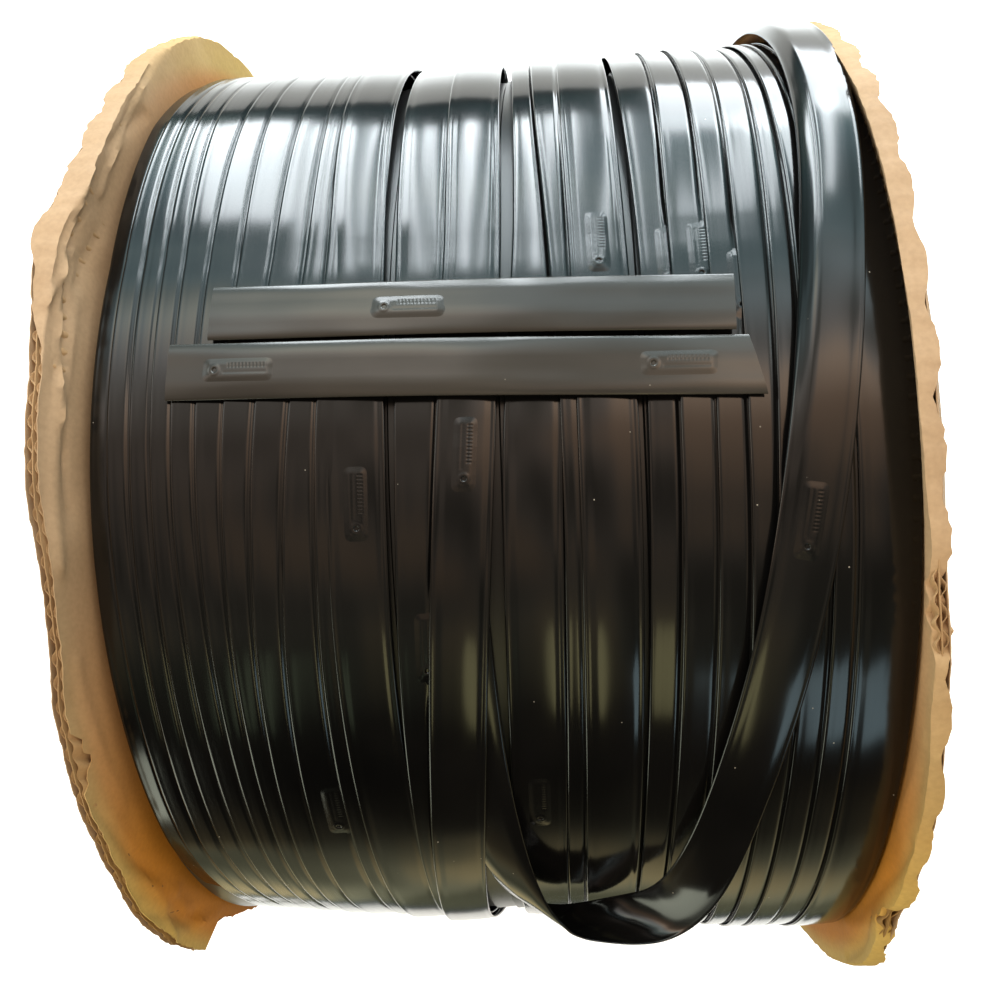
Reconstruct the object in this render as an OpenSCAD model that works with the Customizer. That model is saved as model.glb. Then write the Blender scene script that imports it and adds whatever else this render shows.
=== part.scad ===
// Reel of flat drip tape: a thin lay-flat polyethylene hose with emitters inside it, wound between
// two discs of double-wall corrugated board on a paper core. The reel's axis runs along X and the
// reel stands on its two rims. The origin is on the floor, under the middle of the axis.
// Angles round the axis start at the front (-Y), pass the top at 90 and the back at 180.

/* [Reel] */
// Radius of the two board discs
flange_r = 309; // [280:1:360]
// Distance between the two discs
inner_width = 358; // [300:2:440]
// Radius of the wound tape, over the raised edges of its turns
wound_r = 290; // [250:1:300]
// Depth of the flat that the reel's weight has pressed into each rim
rim_flat = 4; // [3:0.5:7]

/* [Board] */
// Thickness of each flat liner paper
liner_t = 0.6; // [0.4:0.1:1.0]
// Thickness of the waved paper
flute_paper_t = 0.5; // [0.3:0.1:0.7]
// Height of the fine fluting, beside the tape
fine_flute_h = 2.8; // [2:0.1:3.5]
// Pitch of the fine fluting
fine_flute_pitch = 8.4; // [7:0.1:12]
// Height of the coarse fluting, on the outside
coarse_flute_h = 3.6; // [3:0.1:5]
// Pitch of the coarse fluting
coarse_flute_pitch = 9.6; // [8:0.1:14]
// How far the fluting stops short of the liners' rim
fluting_inset = 0.5; // [0.2:0.1:2]
// Length of the place at the front where the left disc's rim has broken off
broken_l = 170; // [100:5:200]
// How deep the rim has broken off there
broken_depth = 20; // [10:1:24]

/* [Core tube] */
// Outer radius of the wound-paper tube
tube_r = 58; // [50:1:90]
// Wall of the wound-paper tube
tube_wall = 8; // [4:0.5:12]

/* [Hub plugs] */
// Radius of the hole for a payout spindle
spindle_r = 19.5; // [12:0.5:25]
// Wall round the spindle hole
spindle_wall = 4; // [3:0.5:6]
// Wall of the barrel that is pressed into the core tube
barrel_wall = 3; // [2:0.5:4]
// How far the barrel reaches into the core tube
barrel_depth = 45; // [25:1:80]
// Radius of the plug's outer rim, which holds the board disc
washer_r = 74; // [66:1:110]
// Thickness of the plug's outer rim
washer_t = 3; // [2:0.5:5]
// Number of ribs between the spindle wall and the barrel
rib_count = 6; // [4:1:10]
// Thickness of each rib
rib_t = 3; // [2:0.5:4]
// Gap between the barrel and the hole in the board
hole_clearance = 0.3; // [0.2:0.1:1]

/* [Tape] */
// Width of the tape when it lies flat
tape_w = 26; // [22:0.5:30]
// Thickness of the flat tape, both walls together
tape_t = 1; // [0.8:0.1:1.2]
// Number of turns in the outer layer
turns = 24; // [18:1:24]
// How many times wider the turns lie in the middle of the reel than beside the discs
open_ratio = 2.3; // [1:0.1:2.6]
// Turn at which the layer is widest open
open_turn = 13; // [9:0.5:16]
// Number of turns from there over which the layer closes up
open_spread = 3.3; // [2:0.1:5]
// Number of turns for which the turns stay leaning after the layer has begun to open
lean_lag = 1.5; // [1:0.1:3]
// Room left between overlapping turns
turn_gap = 0.6; // [0.5:0.1:1.2]
// Room between a piece and what it lies on
seat = 0.3; // [0.2:0.05:0.5]
// Room between the outermost turns and the discs
side_gap = 0.5; // [0.3:0.1:2]
// How far the edges of the loose turn curl up where it hangs on its edge
loose_curl = 4.5; // [3:0.5:5]

/* [Emitters] */
// Length of an emitter
emitter_l = 31; // [24:1:40]
// Width of an emitter
emitter_w = 9; // [7:0.5:12]
// Thickness of an emitter
emitter_t = 0.9; // [0.6:0.1:1.1]
// Distance from one emitter to the next along the tape
emitter_pitch = 190; // [120:5:220]
// Radius of an emitter's outlet hole
outlet_r = 0.8; // [0.5:0.1:1.2]
// Distance of the outlet from the emitter's end
outlet_inset = 5; // [3:0.5:8]

/* [Sample strips] */
// Length of the strip that lies nearer the top
upper_strip_l = 229; // [210:1:260]
// Length of the strip that lies nearer the front
lower_strip_l = 255; // [240:1:280]
// Thickness of a cut strip, which springs open a little
strip_t = 2.4; // [2.2:0.1:3]
// Wall of the tape
strip_wall = 0.4; // [0.3:0.05:0.5]
// Angle round the reel at which the upper strip lies
upper_strip_angle = 88.8; // [87.5:0.1:91]
// Angle between the two strips
strip_spacing = 5.6; // [5.4:0.1:9]
// Slant of the strips across the reel
strip_slant = -2; // [-3:0.5:0]

/* [Hidden] */

// The floor is the plane of the two pressed flats.
axle_h = flange_r - rim_flat;
half_width = inner_width / 2;
board_t = 3 * liner_t + fine_flute_h + coarse_flute_h;
tube_bore_r = tube_r - tube_wall;
board_hole_r = tube_bore_r + hole_clearance;

kraft = [0.80, 0.64, 0.44];
kraft_inside = [0.70, 0.53, 0.34];
tube_paper = [0.66, 0.55, 0.42];
black_film = [0.07, 0.07, 0.07];
black_moulding = [0.12, 0.12, 0.12];

// ---- Board discs -------------------------------------------------------------------------------

// Worn places of each rim: angle round the reel, depth and length along the rim.
left_wear = [[34, 2, 110], [60, 3, 90], [112, 3, 130], [148, 4, 110], [206, 2, 100], [316, 3, 90]];
right_wear = [[28, 2, 90], [64, 3, 120], [124, 4, 100], [154, 3, 120], [214, 3, 110], [330, 2, 80]];
// Places where the liner beside the tape is torn off the fluting, in the same form.
left_tear = [[51, 11, 34], [226, 8, 40]];
right_tear = [[63, 12, 44], [28, 8, 26]];
// Angle at which the left rim has broken off.
left_broken = [2.5];

// A shallow round bite out of a rim of radius r.
module bite(r, place) {
    half_span = place[2] / 2;
    bite_r = 1 / (2 * place[1] / pow(half_span, 2) - 1 / r);
    rotate(180 - place[0]) translate([r - place[1] + bite_r, 0]) circle(bite_r, $fn = 72);
}

// Outline of a disc's layer, with X to the back and Y up; inset draws it in from the rim, and
// broken lists the angles of the places where the rim has broken off.
module disc_outline(wear, inset = 0, broken = []) {
    difference() {
        circle(flange_r - inset, $fn = 144);
        translate([-flange_r, -flange_r - axle_h + inset]) square([2 * flange_r, flange_r]);
        for (place = wear) bite(flange_r - inset, place);
        for (a = broken) rotate(180 - a) translate([flange_r - inset - broken_depth, -broken_l / 2])
            square([2 * broken_depth, broken_l]);
        circle(board_hole_r, $fn = 72);
    }
}

// Lays an outline drawn as [back, up] across the reel's axis and gives it a thickness along X.
module across_axis(x, thickness) {
    translate([x, 0, axle_h]) rotate([90, 0, 90]) linear_extrude(thickness) children();
}

module liner(x, wear, broken = []) {
    across_axis(x, liner_t) disc_outline(wear, 0, broken);
}

// One sheet of waved paper, its flutes upright, trimmed to the disc's outline. The crests are
// flattened where they are glued to the liners: parts of the pitch, and of the height, at each bend.
flute_shape = [[0, 0], [0.2, 0], [0.5, 1], [0.7, 1]];

module fluting(x, height, pitch, wear, broken = []) {
    count = ceil(2 * flange_r / pitch) + 1;
    wave = [for (k = [0:count - 1]) for (p = flute_shape)
        [p[1] * (height - flute_paper_t), (k + p[0] - count / 2) * pitch]];
    far_side = [for (i = [len(wave) - 1:-1:0]) wave[i] + [flute_paper_t, 0]];
    intersection() {
        across_axis(x, height) disc_outline(wear, fluting_inset, broken);
        translate([x, 0, axle_h - flange_r]) linear_extrude(2 * flange_r) polygon(concat(wave, far_side));
    }
}

// The five papers of one disc, counted from the tape outwards. The left disc is the mirror of the
// right one, so its places are turned about the plane between the discs.
inner_liner_x = half_width;
fine_x = inner_liner_x + liner_t;
middle_liner_x = fine_x + fine_flute_h;
coarse_x = middle_liner_x + liner_t;
outer_liner_x = coarse_x + coarse_flute_h;
outer_face_x = outer_liner_x + liner_t;

module left_side() { mirror([1, 0, 0]) children(); }

module left_inner_liner() {
    color(kraft) left_side() liner(inner_liner_x, concat(left_wear, left_tear), left_broken);
}
module left_fine_fluting() {
    color(kraft_inside) left_side() fluting(fine_x, fine_flute_h, fine_flute_pitch, left_wear, left_broken);
}
module left_middle_liner() {
    color(kraft_inside) left_side() liner(middle_liner_x, left_wear, left_broken);
}
module left_coarse_fluting() {
    color(kraft_inside) left_side()
        fluting(coarse_x, coarse_flute_h, coarse_flute_pitch, left_wear, left_broken);
}
module left_outer_liner() { color(kraft) left_side() liner(outer_liner_x, left_wear, left_broken); }

module right_inner_liner() { color(kraft) liner(inner_liner_x, concat(right_wear, right_tear)); }
module right_fine_fluting() {
    color(kraft_inside) fluting(fine_x, fine_flute_h, fine_flute_pitch, right_wear);
}
module right_middle_liner() { color(kraft_inside) liner(middle_liner_x, right_wear); }
module right_coarse_fluting() {
    color(kraft_inside) fluting(coarse_x, coarse_flute_h, coarse_flute_pitch, right_wear);
}
module right_outer_liner() { color(kraft) liner(outer_liner_x, right_wear); }

// ---- Core --------------------------------------------------------------------------------------

// Turns a shape made about Z so that it lies about the reel's axis, its +Z end at +X.
module about_axis(x) {
    translate([x, 0, axle_h]) rotate([0, 90, 0]) children();
}

module core_tube() {
    color(tube_paper) about_axis(-half_width) difference() {
        cylinder(h = inner_width, r = tube_r, $fn = 96);
        translate([0, 0, -1]) cylinder(h = inner_width + 2, r = tube_bore_r, $fn = 96);
    }
}

// Moulded plug: a barrel pressed into the tube, a rim that holds the disc, a spindle bush and ribs.
plug_h = board_t + barrel_depth;
bush_r = spindle_r + spindle_wall;
barrel_bore_r = tube_bore_r - barrel_wall;
// How far the ribs stop short of the barrel's end, and how far they run into the walls they join.
rib_setback = 2;
rib_root = 1;

module hub_plug() {
    translate([0, 0, -plug_h]) {
        rotate_extrude($fn = 96) polygon([
            [spindle_r, 0], [bush_r, 0], [bush_r, plug_h], [barrel_bore_r, plug_h], [barrel_bore_r, 0],
            [tube_bore_r, 0], [tube_bore_r, plug_h], [washer_r, plug_h], [washer_r, plug_h + washer_t],
            [spindle_r, plug_h + washer_t]
        ]);
        for (k = [0:rib_count - 1]) rotate((k + 0.5) * 360 / rib_count)
            translate([bush_r - rib_root, -rib_t / 2, rib_setback])
                cube([barrel_bore_r - bush_r + 2 * rib_root, rib_t, plug_h + rib_root - rib_setback]);
    }
}

module left_hub_plug() { color(black_moulding) left_side() about_axis(outer_face_x) hub_plug(); }
module right_hub_plug() { color(black_moulding) about_axis(outer_face_x) hub_plug(); }

// ---- Wound tape --------------------------------------------------------------------------------

// Rings of the outer layer in one turn. The pack under it has as many flat faces.
rings = 24;
ring_angle = 360 / rings;
last_ring = turns * rings;
travel = inner_width - tape_w - 2 * side_gap;

// The layer is shingled: each turn lies on the one before it and leans on it, left edge up. Its
// pitch opens from a tight one beside the discs to a wide one in the middle of the reel. Where the
// layer opens, a turn keeps the lean of the tighter turns before it.
function openness(u) = 1 + (open_ratio - 1) * exp(-pow((u - open_turn) / open_spread, 4));
reach = [for (i = 0, s = 0; i <= last_ring; s = s + openness((i + 0.5) / rings), i = i + 1) s];
function turn_x(i) = travel * (reach[i] / reach[last_ring] - 0.5);
function pitch_at(i) = travel * rings * openness(i / rings) / reach[last_ring];
function tighter_pitch(i) = min(pitch_at(i), pitch_at(max(0, i - lean_lag * rings)));
function lean(i) = asin(min(0.9, (tape_t + turn_gap) / tighter_pitch(i)));

// Height of the layer over the pack, at its tightest turn.
layer_h = seat + tape_t + tape_w * sin(lean(0));
pack_r = wound_r - layer_h;
function turn_r(i) = pack_r + seat + cos(lean(i)) * tape_t / 2 + tape_w / 2 * sin(lean(i));
function turn_angle(i) = 180 - i * ring_angle;

// Point at an angle round the axis, and the direction outwards there.
function outward(a) = [0, -cos(a), sin(a)];
function on_reel(a, x, r) = [x, 0, axle_h] + r * outward(a);

// A wound tape's section, with six sides.
edge_in = 2;
wound_section = [
    [tape_w / 2, 0], [tape_w / 2 - edge_in, tape_t / 2], [edge_in - tape_w / 2, tape_t / 2],
    [-tape_w / 2, 0], [edge_in - tape_w / 2, -tape_t / 2], [tape_w / 2 - edge_in, -tape_t / 2]
];

// Corners of a section at a centre, with its width along w and its thickness along n.
function placed(section, c, w, n) = [for (p = section) c + p[0] * w + p[1] * n];

function turn_w(i) = cos(lean(i)) * [1, 0, 0] - sin(lean(i)) * outward(turn_angle(i));
function turn_n(i) = sin(lean(i)) * [1, 0, 0] + cos(lean(i)) * outward(turn_angle(i));
function turn_c(i) = on_reel(turn_angle(i), turn_x(i), turn_r(i));
function turn_ring(i) = placed(wound_section, turn_c(i), turn_w(i), turn_n(i));

// Skin of a tube through a list of rings, and its two end faces, all in triangles.
module skinned(list) {
    m = len(list[0]);
    n = len(list);
    sides = [for (i = [0:n - 2]) for (j = [0:m - 1]) for (half = [0, 1])
        let (a = i * m + j, b = i * m + (j + 1) % m)
        half == 0 ? [a, b, b + m] : [a, b + m, a + m]];
    caps = [for (j = [1:m - 2]) for (end = [0, 1])
        end == 0 ? [0, j + 1, j] : [(n - 1) * m, (n - 1) * m + j, (n - 1) * m + j + 1]];
    polyhedron([for (ring = list) for (p = ring) p], concat(sides, caps), convexity = 10);
}

module outer_tape_turns() {
    color(black_film) skinned([for (i = [0:last_ring]) turn_ring(i)]);
}

// Least gap from each turn to the next, measured in the plane of each sixth ring.
function flat_point(p) = [p[0], norm([p[1], p[2] - axle_h])];
function to_edge(p, a, b) =
    let (t = max(0, min(1, (p - a) * (b - a) / ((b - a) * (b - a))))) norm(p - a - t * (b - a));
function ring_gap(q, s) = min([for (p = q) for (j = [0:len(s) - 1]) to_edge(p, s[j], s[(j + 1) % len(s)])]);
gaps = [for (i = [0:6:last_ring - rings])
    let (q = [for (p = turn_ring(i)) flat_point(p)], s = [for (p = turn_ring(i + rings)) flat_point(p)])
    min(ring_gap(q, s), ring_gap(s, q))];
echo(least_gap_between_turns = min(gaps));

// The inner layers, wound solid: flat faces under the rings of the outer layer.
module wound_tape_pack() {
    color(black_film) across_axis(-half_width + side_gap, inner_width - 2 * side_gap) difference() {
        polygon([for (k = [0:rings - 1]) pack_r * [cos(k * ring_angle), sin(k * ring_angle)]]);
        circle(tube_r, $fn = 96);
    }
}

// ---- Emitters on the turns ---------------------------------------------------------------------

function mix(a, b, s) = a + (b - a) * s;

// An emitter as a flat block on the stretch of tape between two rings, shifted from the middle by
// a share of the stretch, with its underside at a height over the tape's middle plane.
module pad(c, w, n, shift, base) {
    long = norm(c[1] - c[0]);
    corners = [for (end = [-1, 1]) for (up = [base, base + emitter_t]) for (side = [-1, 1])
        let (s = 0.5 + shift + end * emitter_l / 2 / long)
        mix(c[0], c[1], s) + side * emitter_w / 2 * mix(w[0], w[1], s) + up * mix(n[0], n[1], s)];
    polyhedron(corners, [[0, 2, 3], [0, 3, 1], [4, 5, 7], [4, 7, 6], [0, 1, 5], [0, 5, 4],
        [2, 6, 7], [2, 7, 3], [0, 4, 6], [0, 6, 2], [1, 3, 7], [1, 7, 5]]);
}

// Each emitter in sight: its turn, the ring before it, and its shift as a share of the stretch.
emitter_places = [
    [10, 7, -0.27], [11, 8, -0.27], [12, 7, -0.27], [13, 5, -0.27], [13, 9, -0.27], [15, 5, 0.11]
];

module turn_emitters() {
    color(black_moulding) for (place = emitter_places) {
        i = min(last_ring - 1, place[0] * rings + place[1]);
        pad([turn_c(i), turn_c(i + 1)], [turn_w(i), turn_w(i + 1)], [turn_n(i), turn_n(i + 1)],
            place[2], tape_t / 2 + seat);
    }
}

// ---- Loose turn --------------------------------------------------------------------------------

// The tape's last turn has worked loose. It leaves the layer at the back, rides high over the top
// beside the right disc, comes down the front to the left, hangs in a slack bight where it turns
// over, and goes back up the front. Each point: angle round the reel, place along X, height of the
// tape's middle over the wound radius, and twist.
loose_route = [
    [165, 165, 4, 0], [150, 164, 7, 0], [135, 164, 9, 0], [120, 162, 10, 0], [105, 156, 9, 0],
    [90, 147, 6, 0], [75, 136, 4, 0], [60, 122.5, 3, 0], [45, 105, 5, 4], [38, 95.5, 8, 16],
    [32.5, 85.5, 11, 34], [28.5, 74, 12.4, 58], [26.3, 60, 13.2, 84], [25.3, 45.5, 13.8, 106],
    [25, 31, 13.6, 124], [26, 18, 12.2, 140], [29, 6.5, 10, 153], [34, -2, 7.2, 164],
    [40.5, -7.5, 4.6, 173], [47.5, -11, 2.7, 178], [54.5, -13, 1.5, 180], [61.5, -14.5, 1, 180]
];
loose_t = 1.2;
// Where its section has corners, as shares of its half width, and how far its edges taper.
loose_corners = [1, 0.85, 0.45, 0, -0.45, -0.85, -1];
edge_taper = 0.4;
function loose_half_t(s) = loose_t / 2 * (abs(s) == 1 ? edge_taper : 1);
// The section at a twist: on its edge the tape curls up, and grows as much narrower.
function loose_section(twist) =
    let (curl = loose_curl * pow(sin(twist), 2))
    let (half_w = tape_w / 2 / (1 + pow(2 * curl / tape_w, 2) * 2 / 3))
    concat([for (s = loose_corners) [s * half_w, curl * s * s + loose_half_t(s)]],
        [for (s = loose_corners) [-s * half_w, curl * s * s - loose_half_t(s)]]);
loose_c = [for (p = loose_route) on_reel(p[0], p[1], wound_r + p[2])];
last_loose = len(loose_route) - 1;
function unit(v) = v / norm(v);
function loose_t_dir(i) = unit(loose_c[min(i + 1, last_loose)] - loose_c[max(i - 1, 0)]);
function flat_w(i) = unit(cross(outward(loose_route[i][0]), loose_t_dir(i)));
function flat_n(i) = cross(loose_t_dir(i), flat_w(i));
function loose_w(i) = cos(loose_route[i][3]) * flat_w(i) + sin(loose_route[i][3]) * flat_n(i);
function loose_n(i) = cos(loose_route[i][3]) * flat_n(i) - sin(loose_route[i][3]) * flat_w(i);

module loose_tape_wrap() {
    start = placed(loose_section(0), turn_c(last_ring), turn_w(last_ring), turn_n(last_ring));
    color(black_film) skinned(concat([start], [for (i = [0:last_loose])
        placed(loose_section(loose_route[i][3]), loose_c[i], loose_w(i), loose_n(i))]));
}

// The point of the route before the emitter that the loose turn shows, and the emitter's shift
// from the middle of the stretch after it, as a share of the stretch.
loose_emitter_at = 6;
loose_emitter_shift = -0.13;

module loose_wrap_emitter() {
    i = loose_emitter_at;
    color(black_moulding) pad([loose_c[i], loose_c[i + 1]], [loose_w(i), loose_w(i + 1)],
        [loose_n(i), loose_n(i + 1)], loose_emitter_shift, loose_t / 2 + seat);
}

// ---- Sample strips -----------------------------------------------------------------------------

// Two cut lengths of the tape that lie across the reel near its top, each on its own.
function face_r(a) =
    wound_r * cos(ring_angle / 2) / cos(a - ring_angle * floor(a / ring_angle) - ring_angle / 2);
function rest_r(a) = let (span = asin(tape_w / 2 / wound_r))
    max([for (k = [-8:8]) face_r(a + span * k / 8) * cos(span * k / 8)]);

// Where the middle of each strip lies along X.
upper_strip_x = -9;
lower_strip_x = -12;
lower_strip_angle = upper_strip_angle - strip_spacing;

module strip_outline(inset) {
    r = strip_t / 2 - inset;
    square([tape_w - strip_t, 2 * r], center = true);
    for (side = [-1, 1]) translate([side * (tape_w - strip_t) / 2, 0]) circle(r, $fn = 24);
}

// Puts a strip, made along X with its upper face up, at its angle round the reel.
module on_top(a, x) {
    translate([0, 0, axle_h]) rotate([90 - a, 0, 0]) translate([x, 0, rest_r(a) + seat + strip_t / 2])
        rotate([0, 0, strip_slant]) children();
}

// places: where along the strip its emitters' middles lie.
module strip(length, places) {
    difference() {
        rotate([90, 0, 90]) linear_extrude(length, center = true) difference() {
            strip_outline(0);
            strip_outline(strip_wall);
        }
        for (x = places) translate([x - emitter_l / 2 + outlet_inset, 0, 0])
            cylinder(h = strip_t, r = outlet_r, $fn = 24);
    }
}

// An emitter welded under the strip's upper wall, with its outlet chamber under the outlet hole.
module emitter() {
    chamber = 0.6 * emitter_w;
    translate([0, 0, strip_t / 2 - strip_wall - emitter_t]) difference() {
        translate([-emitter_l / 2, -emitter_w / 2, 0]) cube([emitter_l, emitter_w, emitter_t]);
        translate([outlet_inset - emitter_l / 2 - chamber / 2, -chamber / 2, emitter_t / 2])
            cube([chamber, chamber, emitter_t]);
    }
}

upper_places = [-25];
lower_places = [-emitter_pitch / 2, emitter_pitch / 2];

module upper_sample_strip() {
    color(black_film) on_top(upper_strip_angle, upper_strip_x) strip(upper_strip_l, upper_places);
}
module upper_strip_emitter() {
    color(black_moulding) on_top(upper_strip_angle, upper_strip_x)
        for (x = upper_places) translate([x, 0, 0]) emitter();
}
module lower_sample_strip() {
    color(black_film) on_top(lower_strip_angle, lower_strip_x) strip(lower_strip_l, lower_places);
}
module lower_strip_emitters() {
    color(black_moulding) on_top(lower_strip_angle, lower_strip_x)
        for (x = lower_places) translate([x, 0, 0]) emitter();
}

core_tube();
left_hub_plug();
right_hub_plug();
left_inner_liner();
left_fine_fluting();
left_middle_liner();
left_coarse_fluting();
left_outer_liner();
right_inner_liner();
right_fine_fluting();
right_middle_liner();
right_coarse_fluting();
right_outer_liner();
wound_tape_pack();
outer_tape_turns();
turn_emitters();
loose_tape_wrap();
loose_wrap_emitter();
upper_sample_strip();
upper_strip_emitter();
lower_sample_strip();
lower_strip_emitters();
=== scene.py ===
import bpy
import numpy as np
from mathutils import Matrix, Vector


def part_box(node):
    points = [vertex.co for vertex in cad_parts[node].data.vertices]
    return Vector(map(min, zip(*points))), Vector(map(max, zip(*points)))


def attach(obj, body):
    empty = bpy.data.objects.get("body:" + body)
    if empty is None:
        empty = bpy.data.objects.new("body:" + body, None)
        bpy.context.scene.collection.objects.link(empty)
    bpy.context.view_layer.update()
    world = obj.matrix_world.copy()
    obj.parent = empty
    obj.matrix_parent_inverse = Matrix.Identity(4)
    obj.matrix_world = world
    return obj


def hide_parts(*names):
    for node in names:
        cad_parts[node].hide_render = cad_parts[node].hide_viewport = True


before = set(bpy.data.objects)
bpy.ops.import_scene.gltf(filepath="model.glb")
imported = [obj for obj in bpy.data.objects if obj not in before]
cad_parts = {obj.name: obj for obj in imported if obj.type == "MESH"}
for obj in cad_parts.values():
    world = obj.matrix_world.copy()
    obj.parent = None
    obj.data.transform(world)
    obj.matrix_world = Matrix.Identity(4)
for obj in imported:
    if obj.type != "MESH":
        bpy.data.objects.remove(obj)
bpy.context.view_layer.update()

# ---- Camera ------------------------------------------------------------------------------------
# It looks steeply down at the reel's front from close by, a little to the right of its middle and
# turned by a few degrees about each of its own axes.
axle_height = 0.305
sight = np.radians(74)
view_axes = np.array([[1, 0, 0], [0, np.cos(sight), -np.sin(sight)], [0, np.sin(sight), np.cos(sight)]]).T


def turned(axis, degrees):
    return np.array(Matrix.Rotation(np.radians(degrees), 3, axis))


camera_axes = view_axes @ turned("Z", 4.91) @ turned("X", 1.20) @ turned("Y", 1.95)
# Its place from the axle: to the right, along its sight, and up across it.
from_axle = np.array([0.036, -0.6464, -0.0165])
camera_place = np.array([0, 0, axle_height]) + view_axes @ from_axle
camera_data = bpy.data.cameras.new("camera")
camera_data.lens = 30.6
camera_data.sensor_width = 36
camera_data.clip_start = 0.01
camera = bpy.data.objects.new("camera", camera_data)
bpy.context.scene.collection.objects.link(camera)
camera_turn = np.column_stack([camera_axes[:, 0], camera_axes[:, 2], -camera_axes[:, 1]])
camera.matrix_world = Matrix.Translation(camera_place.tolist()) @ Matrix(camera_turn.tolist()).to_4x4()
bpy.context.scene.camera = camera

# ---- Loose turn --------------------------------------------------------------------------------
# The last turn of the tape has slipped off the layer. It runs high over the top beside the right
# disc, comes down the front, turns over in a slack bight and goes back up under a wide turn. It is
# a flat tube of black polyethylene film, 26 mm wide, with two rounded folds.
tape_width = 0.026
wound_radius = 0.290
# Each point: angle round the reel in degrees, place along X and height of the tape's middle over
# the winding in metres, and twist in degrees.
loose_route = np.array([
    [165, 0.165, 0.004, 0], [150, 0.164, 0.007, 0], [135, 0.164, 0.009, 0], [120, 0.162, 0.010, 0],
    [105, 0.156, 0.009, 0], [90, 0.147, 0.006, 0], [75, 0.136, 0.004, 0], [60, 0.1225, 0.003, 0],
    [45, 0.105, 0.005, 4], [38, 0.0955, 0.008, 16], [32.5, 0.0855, 0.011, 34], [28.5, 0.074, 0.0124, 58],
    [26.3, 0.060, 0.0132, 84], [25.3, 0.0455, 0.0138, 106], [25, 0.031, 0.0136, 124],
    [26, 0.018, 0.0122, 140], [29, 0.0065, 0.010, 153], [34, -0.002, 0.0072, 164],
    [40.5, -0.0075, 0.0046, 173], [47.5, -0.011, 0.0027, 178], [54.5, -0.013, 0.0015, 180],
    [61.5, -0.0145, 0.001, 180]])


def smooth_through(points, steps):
    """A smooth curve through a list of points, with that many steps from each to the next."""
    p = np.vstack([2 * points[0] - points[1], points, 2 * points[-1] - points[-2]])
    t = np.linspace(0, 1, steps, endpoint=False)[:, None]
    runs = []
    for a, b, c, d in zip(p[:-3], p[1:-2], p[2:-1], p[3:]):
        runs.append(0.5 * (2 * b + (c - a) * t + (2 * a - 5 * b + 4 * c - d) * t ** 2
                           + (3 * b - a - 3 * c + d) * t ** 3))
    return np.vstack(runs + [points[-1:]])


def outward(angle):
    """The direction straight out from the axis at an angle that starts at the front."""
    a = np.radians(angle)
    return np.stack([0 * a, -np.cos(a), np.sin(a)], -1)


def on_reel(angle, x, radius):
    """Points at angles round the axis, places along it and distances from it."""
    c = outward(angle) * np.asarray(radius)[..., None]
    return c + np.stack([np.asarray(x) + 0 * c[..., 0], 0 * c[..., 0], 0 * c[..., 0] + axle_height], -1)


def unit(v):
    return v / np.linalg.norm(v, axis=-1, keepdims=True)


def running_length(points):
    return np.concatenate([[0], np.cumsum(np.linalg.norm(np.diff(points, axis=0), axis=1))])


def get_places(piece):
    places = np.empty(len(piece.data.vertices) * 3)
    piece.data.vertices.foreach_get("co", places)
    return places.reshape(-1, 3)


def set_places(piece, places):
    piece.data.vertices.foreach_set("co", np.asarray(places).ravel())
    piece.data.update()


def set_surface(piece, along, around):
    """Keeps each vertex's running length and its place across the surface as the UV map."""
    corners = np.empty(len(piece.data.loops), dtype=int)
    piece.data.loops.foreach_get("vertex_index", corners)
    layer = piece.data.uv_layers.active or piece.data.uv_layers.new(name="surface")
    layer.data.foreach_set("uv", np.stack([along[corners], around[corners]], 1).astype(np.float32).ravel())


def only(piece):
    """Leaves just this piece selected and active."""
    bpy.ops.object.select_all(action="DESELECT")
    piece.select_set(True)
    bpy.context.view_layer.objects.active = piece


def thicken(piece, thickness, offset):
    """Gives a surface a wall, inside it where the offset is -1 and on both its sides where it is 0."""
    wall = piece.modifiers.new("wall", "SOLIDIFY")
    wall.thickness = thickness
    wall.offset = offset
    bpy.ops.object.modifier_apply(modifier="wall")


def closed(piece):
    """Joins what meets and turns every face outwards."""
    only(piece)
    bpy.ops.object.mode_set(mode="EDIT")
    bpy.ops.mesh.select_all(action="SELECT")
    bpy.ops.mesh.remove_doubles(threshold=1e-6)
    bpy.ops.mesh.normals_make_consistent(inside=False)
    bpy.ops.object.mode_set(mode="OBJECT")


def new_grid(name, rows, columns):
    """A grid of vertices, with each one's row and column."""
    bpy.ops.object.select_all(action="DESELECT")
    bpy.ops.mesh.primitive_grid_add(x_subdivisions=rows - 1, y_subdivisions=columns - 1, size=2)
    piece = bpy.context.object
    piece.name = name
    flat = get_places(piece)
    row = np.rint((flat[:, 0] + 1) / 2 * (rows - 1)).astype(int)
    column = np.rint((flat[:, 1] + 1) / 2 * (columns - 1)).astype(int)
    return piece, row, column


# Half the height of a fold, where the folds begin as a share of the tape's half width, and the
# depth of the groove beside them.
fold_height, fold_from, groove_depth = 0.0008, 0.93, 0.00022
# Places across the tape of the points along its underside, and how far down it lies.
underside, underside_depth = np.array([-0.93, -0.4, 0.4, 0.93]), 0.00045


def tape_top(across, puff, drift, groove=groove_depth):
    """Height of the upper film over the tape's middle plane, at places across it from -1 to 1: a
    round fold at each side, a groove beside it, and between them a soft crown with long creases."""
    a = np.abs(across)
    round_off = np.maximum(a - fold_from, 0) / (1 - fold_from)
    fold = fold_height * np.sqrt(np.clip(1 - round_off ** 2, 0, 1))
    inside = np.clip(1 - (a / fold_from) ** 2, 0, 1)
    creases = 0.00005 * np.sin(3.2 * across + drift) + 0.00001 * np.sin(7 * across - 1.7 * drift)
    return fold + inside * puff + np.sqrt(inside) * creases - groove * np.exp(-((a - 0.80) / 0.09) ** 2)


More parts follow.
